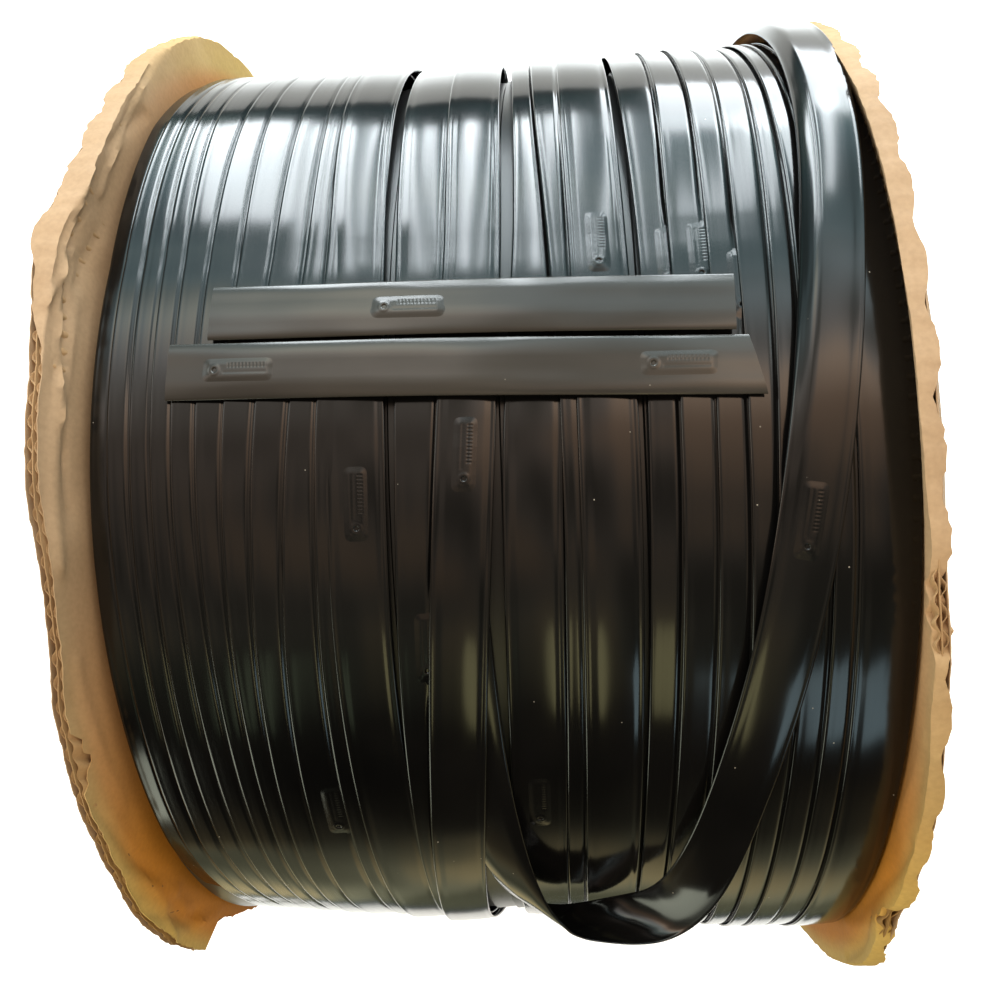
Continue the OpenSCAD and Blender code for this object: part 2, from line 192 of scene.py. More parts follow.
def tape_outline(puff, drift, inner, groove=groove_depth):
    """The tape's section at each place along it, given across and up, from its right fold round;
    inner are the places across it of the points between its folds."""
    fold = np.array([1, 0.99, 0.965, 0.93, 0.88])
    flat = 0 * np.asarray(puff + drift)[:, None]
    top = np.hstack([fold + flat, inner + flat, -fold[::-1] + flat])
    heights = tape_top(top, puff[:, None], drift[:, None], groove)
    across = np.hstack([top, underside + flat]) * tape_width / 2
    up = np.hstack([heights, -underside_depth * np.array([1, 0.9, 0.9, 1]) + flat])
    return np.stack([across, up], -1)


def tape_skin(name, c, w, n, section):
    """Wraps a grid round a tape along its middle line; the grid's first and last rows close the ends."""
    count, sides = section.shape[:2]
    piece, row, column = new_grid(name, count + 2, sides + 1)
    k = np.clip(row - 1, 0, count - 1)
    end = (row == 0) | (row == count + 1)
    across, up = np.where(end[:, None], 0, section[k, column % sides]).T
    set_places(piece, c[k] + across[:, None] * w[k] + up[:, None] * n[k])
    step = np.linalg.norm(np.diff(np.concatenate([section, section[:, :1]], axis=1), axis=1), axis=2)
    round_it = np.hstack([np.zeros((count, 1)), np.cumsum(step, axis=1)])
    set_surface(piece, running_length(c)[k], round_it[k, column])
    closed(piece)
    bpy.ops.object.shade_smooth()
    return piece


def new_material(name):
    material = bpy.data.materials.new(name)
    material.use_nodes = True
    tree = material.node_tree
    return material, tree, tree.nodes["Principled BSDF"]


def set_inputs(tree, node, inputs):
    """Gives a node's inputs their values, or links the outputs of other nodes into them."""
    for name, value in inputs.items():
        if isinstance(value, bpy.types.NodeSocket):
            tree.links.new(value, node.inputs[name])
        else:
            node.inputs[name].default_value = value


def add_node(tree, kind, *first, **values):
    """A node with its settings, its first inputs in their order, and the inputs that are named with
    a capital."""
    node = tree.nodes.new(kind)
    named = {name.replace("_", " "): value for name, value in values.items() if name[0].isupper()}
    for name, value in values.items():
        if name[0].islower():
            setattr(node, name, value)
    set_inputs(tree, node, {**dict(enumerate(first)), **named})
    return node


def noise(tree, place, scale, detail):
    return add_node(tree, "ShaderNodeTexNoise", place, Scale=scale, Detail=detail).outputs["Fac"]


def mixed(tree, factor, a, b, blend_type="MIX"):
    return add_node(tree, "ShaderNodeMix", data_type="RGBA", blend_type=blend_type, Factor=factor, A=a,
                    B=b).outputs["Result"]


def bumpy(tree, height, strength, distance, under=None):
    """Bumps from a height, laid over the ones under them where there are any."""
    node = add_node(tree, "ShaderNodeBump", Height=height, Strength=strength, Distance=distance)
    if under is not None:
        tree.links.new(under, node.inputs["Normal"])
    return node.outputs[0]


def ramp(tree, source, stops):
    node = add_node(tree, "ShaderNodeValToRGB", source)
    while len(node.color_ramp.elements) < len(stops):
        node.color_ramp.elements.new(0.5)
    for element, (place, color) in zip(node.color_ramp.elements, stops):
        element.position = place
        element.color = (*color, 1)
    return node.outputs["Color"]


def black_film(name, roughness, ripple, body_colors=((0.0022, 0.0021, 0.0021), (0.0050, 0.0045, 0.0042))):
    """Extruded film: faint draw lines along the tape, slow ripples, and a few specks of dust.
    body_colors are its darkest and its palest."""
    material, tree, shader = new_material(name)
    place = add_node(tree, "ShaderNodeTexCoord").outputs
    lengthwise = add_node(tree, "ShaderNodeMapping", place["UV"], Scale=(6, 900, 1))
    lines = noise(tree, lengthwise.outputs[0], 1.0, 3.0)
    slow = add_node(tree, "ShaderNodeMapping", place["UV"], Scale=(14, 50, 1))
    ripples = noise(tree, slow.outputs[0], 1.0, 1.0)
    dust = add_node(tree, "ShaderNodeTexVoronoi", place["Object"], Scale=85.0)
    specks = ramp(tree, dust.outputs["Distance"], [(0, (1, 1, 1)), (0.022, (1, 1, 1)), (0.034, (0, 0, 0))])
    haze = noise(tree, place["Object"], 9.0, 4.0)
    body = ramp(tree, haze, [(0.35, body_colors[0]), (0.7, body_colors[1])])
    here = ramp(tree, haze, [(0.52, (0, 0, 0)), (0.56, (1, 1, 1))])
    seen = add_node(tree, "ShaderNodeMath", specks, here, operation="MULTIPLY")
    rough = add_node(tree, "ShaderNodeMapRange", lines, To_Min=roughness - 0.015, To_Max=roughness + 0.025)
    set_inputs(tree, shader, {
        "Base Color": mixed(tree, seen.outputs[0], body, (0.30, 0.27, 0.22, 1)),
        "Roughness": rough.outputs["Result"], "Specular IOR Level": 0.5, "IOR": 1.51,
        "Normal": bumpy(tree, lines, 0.02, 0.00004, bumpy(tree, ripples, ripple, 0.0006))})
    return material


tape_film = black_film("tape_film", 0.14, 0.25)


def loose_frames(route):
    """The loose turn's middle line, and the directions along its width and out of its upper film."""
    c = on_reel(route[:, 0], route[:, 1], wound_radius + route[:, 2])
    along = unit(np.gradient(c, axis=0))
    flat_w = unit(np.cross(outward(route[:, 0]), along))
    flat_n = np.cross(along, flat_w)
    twist = np.radians(route[:, 3])[:, None]
    return c, np.cos(twist) * flat_w + np.sin(twist) * flat_n, np.cos(twist) * flat_n - np.sin(twist) * flat_w


def soft_step(value):
    """From 0 to 1 with no corner at either."""
    t = np.clip(value, 0, 1)
    return t * t * (3 - 2 * t)


# Steps between two points of the route.
route_steps = 14
loose = smooth_through(loose_route, route_steps)
# Under the wide turn its end is pressed down on the layer. Behind the top it stands higher, and a
# little further from the disc.
pressed = loose.copy()
pressed[:, 2] -= 0.0040 * soft_step((np.arange(len(loose)) / route_steps - 15.5) / 2.5)
behind = np.clip((pressed[:, 0] - 112) / 25, 0, 1)
pressed[:, 1] -= 0.003 * behind
pressed[:, 2] += 0.004 * behind
loose_c, loose_w, loose_n = loose_frames(pressed)
loose_run = running_length(loose_c)
loose_puff = 0.0004 + 0.00018 * np.sin(loose_run * 21 + 1)
loose_drift = 2.2 * np.sin(loose_run * 9) + 5 * loose_run
loose_section = tape_outline(loose_puff, loose_drift, np.linspace(0.8, -0.8, 11))
# On its edge the tape curls, and its left edge droops where it stands highest.
curl = 0.0045 * np.sin(np.radians(loose[:, 3])) ** 2
shares = loose_section[..., 0] / (tape_width / 2)
loose_section[..., 1] += curl[:, None] * shares ** 2
loose_section[..., 0] /= 1 + 2 / 3 * (curl[:, None] / (tape_width / 2)) ** 2
droop = 0.0045 * np.clip((loose[:, 0] - 66) / 25, 0, 1)
loose_section[..., 1] -= droop[:, None] * np.clip((-shares - 0.5) / 0.5, 0, 1) ** 1.5
loose_tape = tape_skin("loose_tape", loose_c, loose_w, loose_n, loose_section)
loose_tape.data.materials.append(tape_film)
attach(loose_tape, "reel")
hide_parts("loose_tape_wrap")

# ---- Emitter of the loose turn -----------------------------------------------------------------
# A flat moulding of black polyethylene, 31 by 9 mm, is welded inside the tape at each outlet. The
# film is drawn over it, so it shows as a soft raised place, with the teeth of its labyrinth along
# it and a small boss with the outlet hole near one end.
emitter_length, emitter_width = 0.031, 0.009
# The film stands up by that much over it, and comes down over that much past its edge.
film_rise, film_skirt = 0.00052, 0.0020
film_wall = 0.0003
# Along it from its middle: where the labyrinth begins, where its teeth end, and the outlet.
labyrinth_from, teeth_to, outlet_at = -0.0135, 0.0050, 0.0105
tooth_pitch = 0.0016


def emitter_height(s, a, hole_end):
    """Height of the raised film at s along the emitter from its middle and a across it."""
    height = film_rise * (soft_step((emitter_length / 2 + film_skirt - np.abs(s)) / 0.0050)
                          * soft_step((emitter_width / 2 + film_skirt - np.abs(a)) / 0.0046)) - 0.0001
    far = s * hole_end
    past_start = soft_step((far - labyrinth_from) / 0.001)
    teeth = (past_start * soft_step((teeth_to - far) / 0.001)
             * soft_step((0.0013 - np.abs(a - 0.0020)) / 0.0005))
    height = height - 0.00012 * teeth * (0.5 + 0.5 * np.sin(2 * np.pi * s / tooth_pitch))
    groove = past_start * soft_step((teeth_to + 0.0020 - far) / 0.001)
    height = height - 0.00007 * groove * np.exp(-((a + 0.0012) / 0.0007) ** 2)
    from_hole = np.hypot(far - outlet_at, a)
    height = height + 0.00014 * soft_step((0.0032 - from_hole) / 0.0014)
    return height - 0.0014 * soft_step((0.0011 - from_hole) / 0.0005)


def emitter_patch(name, frames, hole_end, film):
    """The raised place on a tape: frames gives the tape's middle, width and outward directions at
    distances along it, and the height of its upper film there at places across it."""
    rows, columns = 112, 38
    piece, row, column = new_grid(name, rows, columns)
    s = np.linspace(-1, 1, rows) * (emitter_length / 2 + film_skirt)
    across = np.linspace(-1, 1, columns) * (emitter_width / 2 + film_skirt)
    c, w, n, top = frames(s, across)
    a = across[column]
    up = emitter_height(s[row], a, hole_end) + top[row, column]
    set_places(piece, c[row] + a[:, None] * w[row] + up[:, None] * n[row])
    set_surface(piece, s[row], a)
    only(piece)
    if np.dot(np.cross(unit(c[-1] - c[0]), w[0]), n[0]) < 0:
        piece.data.flip_normals()
    thicken(piece, film_wall, -1)
    bpy.ops.object.shade_smooth_by_angle(angle=np.radians(60))
    piece.data.materials.append(film)
    return piece


def frames_along(run, c, w, n, puff, drift, at):
    """A tape's frames and film heights at distances on both sides of a place along it."""
    def frames(s, across):
        def pick(v):
            return np.stack([np.interp(at + s, run, v[:, k]) for k in range(3)], -1)
        top = tape_top(across[None] / (tape_width / 2), np.interp(at + s, run, puff)[:, None],
                       np.interp(at + s, run, drift)[:, None])
        return pick(c), unit(pick(w)), unit(pick(n)), top
    return frames


emitter_film = black_film("emitter_film", 0.17, 0.1)
# It lies on the straight part, at that angle round the reel.
emitter_angle = 69.7
on_strap = loose[:, 0] > 45
loose_emitter_at = float(np.interp(-emitter_angle, -loose[on_strap, 0], loose_run[on_strap]))
loose_emitter = emitter_patch("loose_emitter", frames_along(loose_run, loose_c, loose_w, loose_n, loose_puff,
                                                            loose_drift, loose_emitter_at), 1, emitter_film)
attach(loose_emitter, "reel")
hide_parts("loose_wrap_emitter")

# ---- Outer turns -------------------------------------------------------------------------------
# The outermost layer: one tape laid from the left disc to the right one in 24 turns. Each turn
# rests on the right part of the one before, so its left fold stands up; where the layer opens, the
# turns lie flat beside each other with a narrow gap.
turns = 24
# Where each turn's left fold lies along X, in millimetres, at six angles round the reel.
fold_angles = [117, 97, 78, 55, 34, 12]
left_folds = np.array([
    [-178, -178, -178, -177, -176, -176], [-168, -168, -168, -166, -166, -166],
    [-160, -159, -158.5, -157, -157, -157.5], [-152, -149, -149, -147, -147, -147],
    [-142, -139, -140, -137, -137, -137], [-126, -127.5, -128.5, -126, -126, -126],
    [-113, -112, -116, -117, -118, -118.4], [-96, -97, -102, -107.5, -109, -109.5],
    [-82, -81, -87, -95.5, -97, -97.5], [-74, -71.5, -74.5, -78.5, -79, -79.2],
    [-75, -71, -69.5, -71.5, -70.5, -70.2], [-43.5, -41, -39.5, -44, -47, -49.5],
    [-20, -17, -21, -29.5, -39.5, -48], [12.5, 14, 6.5, 4, 1, -1],
    [22, 28.5, 33, 30.5, 27, 25.8], [35.5, 37.5, 39, 38, 36, 35.3],
    [65, 68.5, 69, 66.5, 64, 63.1], [84.5, 81.5, 82.5, 80, 77, 76], [99.5, 98.5, 97, 95.5, 92, 90.8],
    [115, 110.5, 110, 109, 105, 103.6], [129, 125, 121, 118, 116, 115.3], [137, 136, 131, 129, 127, 126.3],
    [146, 145, 143, 141, 140, 139.6], [152.5, 152.5, 152.5, 152, 152, 152]
]) / 1000
# Steps along each turn.
steps = 300
turn = np.arange(turns * steps + 1) / steps
angle = 180 - 360 * turn
knots = (np.arange(turns)[:, None] + (180 - np.array(fold_angles)) / 360).ravel()


def smoothed(values, width):
    """A running mean over an odd number of steps."""
    window = np.hanning(width) / np.hanning(width).sum()
    return np.convolve(np.pad(values, width // 2, mode="edge"), window, mode="valid")


left = smoothed(np.interp(turn, knots, left_folds.ravel()), 31)
left += 0.0004 * np.sin(turn * 2 * np.pi * 1.31 + 1) * np.sin(turn * 0.9)
# The first and the last turn lie against the discs.
left = np.clip(left, -0.1783, 0.1525)
# How high the left fold is carried by the turns under it; they give way under it, so that a turn
# leans less than that.
ply, highest, leaning = 0.0018, 0.0044, 0.0020
lift = np.zeros(len(turn))
for i in range(steps, len(turn)):
    advance = max(left[i] - left[i - steps], 0.006)
    under = lift[i - steps] * (1 - advance / tape_width)
    lift[i] = 0 if advance > tape_width else max(under + ply, ply * tape_width / advance)
carried = np.minimum(smoothed(lift, 51), highest)
lift = np.minimum(carried, leaning)
# Slow swells along the tape, different on each turn, and a slight roll of each turn.
swell = 0.00020 * np.sin(turn * 2 * np.pi * 3.37) + 0.00018 * np.sin(turn * 2 * np.pi * 7.13 + 2)
roll = np.radians(1.3 * np.sin(turn * 2 * np.pi * 0.83 + 0.5) + 0.9 * np.sin(turn * 2 * np.pi * 2.61))
tilt = np.arcsin(np.clip(lift / tape_width, -0.5, 0.5)) + roll * 0.35
# The winding is fuller behind the top, most of all at the left, and slack at the left low in front.
around = (angle + 90) % 360 - 90
leftward = np.clip((-0.06 - left) / 0.10, 0, 1)
rightward = np.clip((left - 0.07) / 0.06, 0, 1)
fuller = ((0.0062 + 0.0015 * leftward - 0.0022 * rightward)
          * np.interp(around, [96, 116, 150, 175], [0, 1, 1, 0]))
slack = 0.0055 * leftward * np.interp(around, [-50, -10, 18, 36], [0, 1, 1, 0])
# At the right, low in front, it is fuller again.
full_low = 0.0035 * np.clip((left - 0.05) / 0.06, 0, 1) * np.interp(around, [-50, -15, 14, 40], [0, 1, 1, 0])
# The thirteenth turn rides over the end of the loose one.
bridge = np.where((turn > 12.25) & (turn < 12.75),
                  np.interp(around, [-20, 4, 16, 24, 34, 40, 48, 56, 64, 78],
                            [0, 1.0, 1.6, 2.4, 4.6, 5.4, 4.6, 3.4, 2.4, 0]), 0) / 1000
flat_radius = 0.2852
radius = (flat_radius + (carried - lift) / 2 + np.maximum(np.sin(tilt), 0) * tape_width / 2
          + swell + fuller + full_low - slack + bridge)
turn_c = on_reel(angle, left + np.cos(tilt) * tape_width / 2, radius)
out = outward(angle)
turn_w = np.cos(tilt)[:, None] * np.array([1, 0, 0]) - np.sin(tilt)[:, None] * out
turn_n = np.sin(tilt)[:, None] * np.array([1, 0, 0]) + np.cos(tilt)[:, None] * out
turn_puff = (0.00032 + 0.00014 * np.sin(turn * 2 * np.pi * 1.9 + 0.4)
             + 0.00006 * np.sin(turn * 2 * np.pi * 5.3))
turn_drift = 1.9 * np.sin(turn * 2 * np.pi * 0.71 + 1) + 0.8 * np.sin(turn * 2 * np.pi * 2.3) + turn * 2.1
# How far from each turn's left fold the next turn's lies. Up to overlap that one half covers it,
# and presses it flat.
overlap = 0.0235
next_fold = smoothed(np.append(left[steps:] - left[:-steps], np.full(steps, 0.04)), 31)
pressed_flat = np.clip((overlap - next_fold) / 0.005, 0, 1)
turn_puff *= 1 - 0.8 * pressed_flat
groove = groove_depth * (1 - 0.85 * pressed_flat[:, None])
# The section's points lie close together beside the next turn's fold, and evenly from there to both
# sides, given from the left fold.
leftmost, rightmost = 0.0018, 0.0243
beside = (np.clip(next_fold, 0.007, overlap - 0.0010)[:, None]
          + np.array([0.0011, 0.0003, -0.0005, -0.0012, -0.0020, -0.0028]))
far = rightmost + (beside[:, :1] - rightmost) * np.array([0, 0.33, 0.66])
near = beside[:, -1:] + (leftmost - beside[:, -1:]) * np.arange(1, 13) / 12
inner = np.hstack([far, beside, near]) / (tape_width / 2) - 1
turn_section = tape_outline(turn_puff, turn_drift, inner, groove)
turn_run = running_length(turn_c)
# Turn, and angle round the reel of the middle, of each emitter in this layer.
emitter_places = [(12, 76.2), (10, 72.3), (11, 59.3), (13, 42.0), (15, 95.3), (8, 41.5), (16, 93.5),
                  (17, 93.5), (18, 90.3)]
emitters_at = np.interp([whole + (180 - at_angle) / 360 for whole, at_angle in emitter_places],
                        turn, turn_run)
# Each turn sinks beside the fold that the next one lays on it, less so over an emitter.
off_emitter = np.abs(turn_run[:, None] - emitters_at).min(axis=1)
sinks = np.clip((off_emitter - 0.018) / 0.015, 0.3, 1)
half_covered = np.clip((overlap - next_fold) / 0.003, 0, 1) * np.clip((next_fold - 0.006) / 0.004, 0, 1)
on_top = slice(0, -len(underside))
from_fold = turn_section[:, on_top, 0] + tape_width / 2 - next_fold[:, None] + 0.0003
turn_section[:, on_top, 1] -= 0.0008 * np.exp(-(from_fold / 0.0011) ** 2) * (half_covered * sinks)[:, None]
# It is modelled in three lengths, which meet at the back.
for number in range(3):
    span = slice(number * 8 * steps, (number + 1) * 8 * steps + 1)
    outer_turns = tape_skin("outer_turns_%d" % (number + 1), turn_c[span], turn_w[span], turn_n[span],
                            turn_section[span])
    outer_turns.data.materials.append(tape_film)
    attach(outer_turns, "reel")
    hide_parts("outer_tape_turns")

# ---- Emitters in the outer turns ---------------------------------------------------------------
# The same mouldings inside the turns. They lie wherever the winding has brought them, each with
# its outlet towards the front.
for number, at in enumerate(emitters_at):
    patch = emitter_patch("turn_emitter_%d" % (number + 1),
                          frames_along(turn_run, turn_c, turn_w, turn_n, turn_puff, turn_drift, float(at)),
                          1, emitter_film)
    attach(patch, "reel")
    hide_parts("turn_emitters")

# ---- Inner layers ------------------------------------------------------------------------------
# Some three thousand metres of the same tape lie wound under the outer layer. Only a little of the
# layer below shows, in the gaps between the turns.


def upright_circle(name, sides, radius, place):
    """A circle that faces along X, with all of it selected in edit mode."""
    bpy.ops.object.select_all(action="DESELECT")
    bpy.ops.mesh.primitive_circle_add(vertices=sides, radius=radius, location=place,
                                      rotation=(0, np.pi / 2, 0))
    piece = bpy.context.object
    piece.name = name
    bpy.ops.object.transform_apply(location=True, rotation=True, scale=True)
    bpy.ops.object.mode_set(mode="EDIT")
    bpy.ops.mesh.select_all(action="SELECT")
    return piece


def ring_tube(name, rings, sides):
    """A closed shape of revolution about the reel's axis, started as a circle and extruded from
    ring to ring: rings are its places along X and its radii, in order, back to the first."""
    x, r = rings[0]
    piece = upright_circle(name, sides, r, (x, 0, axle_height))
    for nx, nr in rings[1:]:
        bpy.ops.mesh.extrude_edges_move(TRANSFORM_OT_translate={"value": (nx - x, 0, 0)})
        if nr != r:
            bpy.ops.transform.resize(value=(1, nr / r, nr / r), center_override=(nx, 0, axle_height))
        x, r = nx, nr
    bpy.ops.object.mode_set(mode="OBJECT")
    closed(piece)
    return piece


# The layer that shows is shingled too: the pitch of its turns, and the radii of their left and
# right edges.
below_pitch, below_left, below_right = 0.0123, 0.2832, 0.2820
drum_half, drum_bore = 0.1784, 0.058
drum_rings = [(-drum_half, drum_bore), (-drum_half, 0.2825)]
for k in range(29):
    left_edge = 0.0001 - drum_half + k * below_pitch
    drum_rings += [(left_edge, below_left), (left_edge + 0.93 * below_pitch, below_right)]
drum_rings += [(drum_half, 0.2822), (drum_half, drum_bore), (-drum_half, drum_bore)]
inner_layers = ring_tube("inner_layers", drum_rings, 180)
bpy.ops.object.shade_smooth_by_angle(angle=np.radians(25))
dull_film = black_film("inner_film", 0.3, 0.1)
inner_layers.data.materials.append(dull_film)
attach(inner_layers, "reel")
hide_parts("wound_tape_pack")

# ---- Sample strips -----------------------------------------------------------------------------
# Two lengths cut from the tape with a knife and laid across the reel near its top, so that a buyer
# can see the outlets. Each is an open flat tube that has sprung open a little.
strip_half_height = 0.00095
strip_rings = 80
# The radius of the tape when it stands round.
round_radius = 0.008


def strip_top(x, across, length, bow):
    """Height of a strip's upper film over its middle plane, along it and across it from -1 to 1."""
    a = np.abs(across)
    inside = np.clip(1 - a ** 2, 0, 1)
    height = strip_half_height * np.clip(1 - a ** 7, 0, 1) ** 0.5
    height = height + inside * (0.00058 + 0.00024 * np.sin(x * 31 + bow * 3) + 0.00016 * np.sin(x * 67 + bow)
                                + 0.00008 * np.sin(x * 131 + bow * 7))
    height = height + 0.00012 * np.sin(6 * across + 9 * x + bow * 5) * np.sqrt(inside)
    return height + strip_bow(x, length, bow)


def strip_bow(x, length, bow):
    return bow * (np.cos(x / length * np.pi * 1.3) - 0.5) * 0.0006


def cut_strip(name, node, emitter_node, length, angle, slant, shift, bow, skew, places):
    """A strip of a length, laid across the reel at an angle round it, at a slant in degrees, and
    shifted from its node's middle along it, across it and outwards. bow is how much it is bowed,
    skew how far off square its right end is cut, and places are its emitters' along it."""
    low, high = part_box(node)
    up = outward(angle)
    back = np.cross(up, [1, 0, 0])
    along = np.cos(np.radians(slant)) * np.array([1, 0, 0]) + np.sin(np.radians(slant)) * back
    across = np.cross(up, along)
    middle = (np.array(low) + np.array(high)) / 2 + shift[0] * along + shift[1] * across + shift[2] * up
    piece = upright_circle(name, 48, tape_width / 2, (-length / 2, 0, 0))
    for k in range(strip_rings):
        bpy.ops.mesh.extrude_edges_move(TRANSFORM_OT_translate={"value": (length / strip_rings, 0, 0)})
    bpy.ops.object.mode_set(mode="OBJECT")
    # The round tube is pressed flat, with rounded folds at its sides.
    x, y, z = get_places(piece).T
    ring = np.arctan2(z, y)
    share = np.sign(np.cos(ring)) * np.abs(np.cos(ring)) ** 0.6
    flat_z = np.where(z > 1e-6, strip_top(x, share, length, bow), strip_bow(x, length, bow))
    below = strip_half_height * np.clip(1 - np.abs(share) ** 7, 0, 1) ** 0.5
    flat_z = np.where(z < -1e-6, flat_z - below, flat_z)
    # The knife went through the right end askew.
    slid = x + skew * np.clip(x / (length / 2), 0, 1) ** 8 * -share
    wander = 0.0004 * np.sin(x * 23 + bow * 2)
    set_places(piece, middle + slid[:, None] * along + (share * tape_width / 2 + wander)[:, None] * across
               + flat_z[:, None] * up)
    set_surface(piece, x, ring * round_radius)
    closed(piece)
    thicken(piece, film_wall, -1)
    bpy.ops.object.shade_smooth_by_angle(angle=np.radians(50))
    piece.data.materials.append(strip_film)
    body = "upper_strip" if node.startswith("upper") else "lower_strip"
    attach(piece, body)
    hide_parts(node)
    for number, place in enumerate(places):
        def frames(s, a, place=place):
            c = middle + (place + s)[:, None] * along
            top = strip_top((place + s)[:, None], a[None] / (tape_width / 2), length, bow)
            return c, np.repeat(across[None], len(s), 0), np.repeat(up[None], len(s), 0), top
        patch = emitter_patch("%s_emitter_%d" % (name, number + 1), frames, -1, strip_film)
        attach(patch, body)
        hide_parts(emitter_node)


# The strips' film has a paler, browner body than the tape's: a painted brown sheen.
strip_film = black_film("strip_film", 0.17, 0.5, ((0.020, 0.017, 0.014), (0.042, 0.036, 0.029)))
cut_strip("upper_strip_tape", "upper_sample_strip", "upper_strip_emitter", 0.229, 88.8, -2,
          (0.0014, 0.0010, 0.0006), 0.6, 0.0, [-0.025])
cut_strip("lower_strip_tape", "lower_sample_strip", "lower_strip_emitters", 0.255, 83.2, -2,
          (-0.0010, 0.0020, 0.0019), 1.0, 0.0035, [-0.095, 0.095])

# ---- Board discs -------------------------------------------------------------------------------
# Each disc is double-wall corrugated board, 8 mm thick: three kraft liners, a fine fluting between
# the inner two and a coarse one between the outer two, glued with the flutes upright. Handling has
# bent, crushed and frayed the rims.
board_hole = 0.0503
board_radius = 0.309
board_thickness = 0.0082
liner_thickness, fluting_thickness = 0.0005, 0.0004
# Where the outer face lies along X, and the radii past which the board is bent, its rim is worn and
# its papers are crushed or have swollen.
board_face, bent_from, worn_from, crushed_from = 0.1872, 0.20, 0.28, 0.284
# Depths of the papers' middles in the board, from the face beside the tape.
paper_depth = {"inner_liner": 0.0003, "fine_fluting": 0.0020, "middle_liner": 0.0037,
               "coarse_fluting": 0.0058, "outer_liner": 0.0079}
# Each disc's rim at angles round the reel, in degrees: where its outer face lies along X, how
# thick it is, its radius, and how far the inner liner is folded over it, in millimetres.
rim_shape = {
    "left": np.array([
        [0, 193, 7.0, 307, 0], [12, 195, 7.5, 308, 0], [20, 198.5, 8, 309, 0], [29, 197.5, 7.0, 309, 0],
        [34, 197.5, 6.0, 307, 0], [44, 195.5, 5.8, 308, 0], [49, 194.2, 5.8, 308.5, 0],
        [56, 193, 5.6, 307, 0], [62, 190, 5.6, 306.5, 0], [70, 190.2, 5.8, 308.5, 0],
        [77, 192.5, 6.0, 309, 0], [84, 192.8, 6.2, 308, 0], [88.5, 194, 7.0, 308, 4],
        [92, 197.5, 10, 308, 9], [96, 200, 13, 309, 12], [100, 196.5, 14, 309, 13], [106, 195, 12, 309, 12],
        [111, 195, 10.5, 309, 11], [122, 198, 10.5, 311, 11], [130, 198, 10, 316, 10],
        [137, 197, 10, 321, 10], [144, 196, 9.5, 322, 8], [150, 194, 9, 319, 4], [158, 191, 8.2, 312, 0],
        [180, 188, 8.2, 308.5, 0], [206, 189, 8, 307, 0],
        [240, 188, 8, 309, 0], [270, 187.5, 8, 309, 0], [300, 188, 8, 309, 0], [330, 190, 7.5, 308, 0],
        [360, 193, 7.0, 307, 0]], float),
    "right": np.array([
        [0, 190, 7.4, 309, 5], [8, 190.3, 7.6, 311, 7], [18, 188.4, 7.4, 312, 8], [24, 187, 7.0, 309, 7],
        [31, 185.8, 6.4, 306, 6], [36, 185.3, 6.2, 305.5, 6], [42, 184.7, 6.0, 305, 6],
        [49, 184.6, 6.0, 306, 6], [59, 183, 6.0, 305.5, 6], [67, 181.5, 5.8, 304.5, 6],
        [76, 178, 5.8, 305, 7], [82, 176.5, 6.0, 305, 7.5], [88, 175.8, 6.4, 304.5, 8],
        [94, 175, 7.0, 304.5, 8.5], [101, 177, 7.8, 305, 9], [109, 178.5, 8.8, 304.5, 9],
        [112, 175, 9, 302.5, 9], [120, 173, 9, 301.5, 9], [130, 175, 9, 301, 8], [142, 180, 8.6, 302, 5],
        [154, 184, 8.2, 307, 0], [180, 187, 8.2, 308.5, 0],
        [214, 188, 8, 307, 0], [240, 188, 8, 309, 0], [270, 187.5, 8, 309, 0], [300, 188, 8, 309, 0],
        [330, 189, 7.5, 308, 0], [360, 190, 7.4, 308, 0]], float),
}
# Creases pressed into the face beside the tape: the angle and radius of each end, the width and the
# height, in degrees and millimetres. Along the rim a degree is about 5.2 mm.
rim_degree = 5.2
creases = {
    "left": [(92, 294, 68, 305, 4, 1.6), (101, 288, 84, 301, 3, -1.2), (60, 300, 44, 292, 4, 0.9),
             (38, 309, 27, 291, 4, 1.5), (31, 309, 20, 293, 3, -1.5), (24, 308, 15, 290, 4, 1.4),
             (118, 296, 108, 306, 4, -1.2), (46, 306, 33, 296, 3, -1.0), (28, 300, 22, 309, 2, 1.2),
             (104, 309, 80, 298, 1.6, 1.8), (100, 303, 72, 294, 1.6, -1.4), (121, 306, 103, 298, 1.6, 1.6),
             (96, 300, 90, 309, 1.4, 1.6), (132, 312, 112, 303, 1.8, -1.6), (34, 300, 22, 296, 1.4, 1.2),
             (30, 296, 19, 301, 1.4, -1.2), (27, 291, 17, 296, 1.4, 1.2)],
    "right": [(110, 296, 96, 303, 4, 1.0), (70, 300, 40, 296, 5, 0.8), (40, 306, 24, 290, 4, -1.2),
              (30, 308, 15, 290, 4, 1.6), (25, 300, 12, 305, 3, -1.5), (52, 304, 40, 290, 3, 0.8)],
}


def crumple(angle, radius, seed):
    """Uneven dents that grow towards the rim, in metres."""
    a = np.radians(angle)
    near = np.clip((radius - 0.255) / 0.05, 0, 1) ** 2
    total = 0
    for k, (turns, size) in enumerate([(5, 1.0), (9, 0.7), (16, 0.5), (27, 0.32), (43, 0.2)]):
        total = total + size * np.sin(turns * a + seed * (k + 1.7) + 14 * radius * (k + 1))
    return 0.0009 * near * total


def fray(angle, seed):
    """Ragged rim of a torn paper, in metres."""
    a = np.radians(angle)
    total = 0
    for k, (turns, size) in enumerate([(23, 0.5), (61, 0.4), (137, 0.33), (211, 0.3), (331, 0.22)]):
        total = total + size * np.sin(turns * a + seed * (2.3 + k))
    return 0.0006 * total


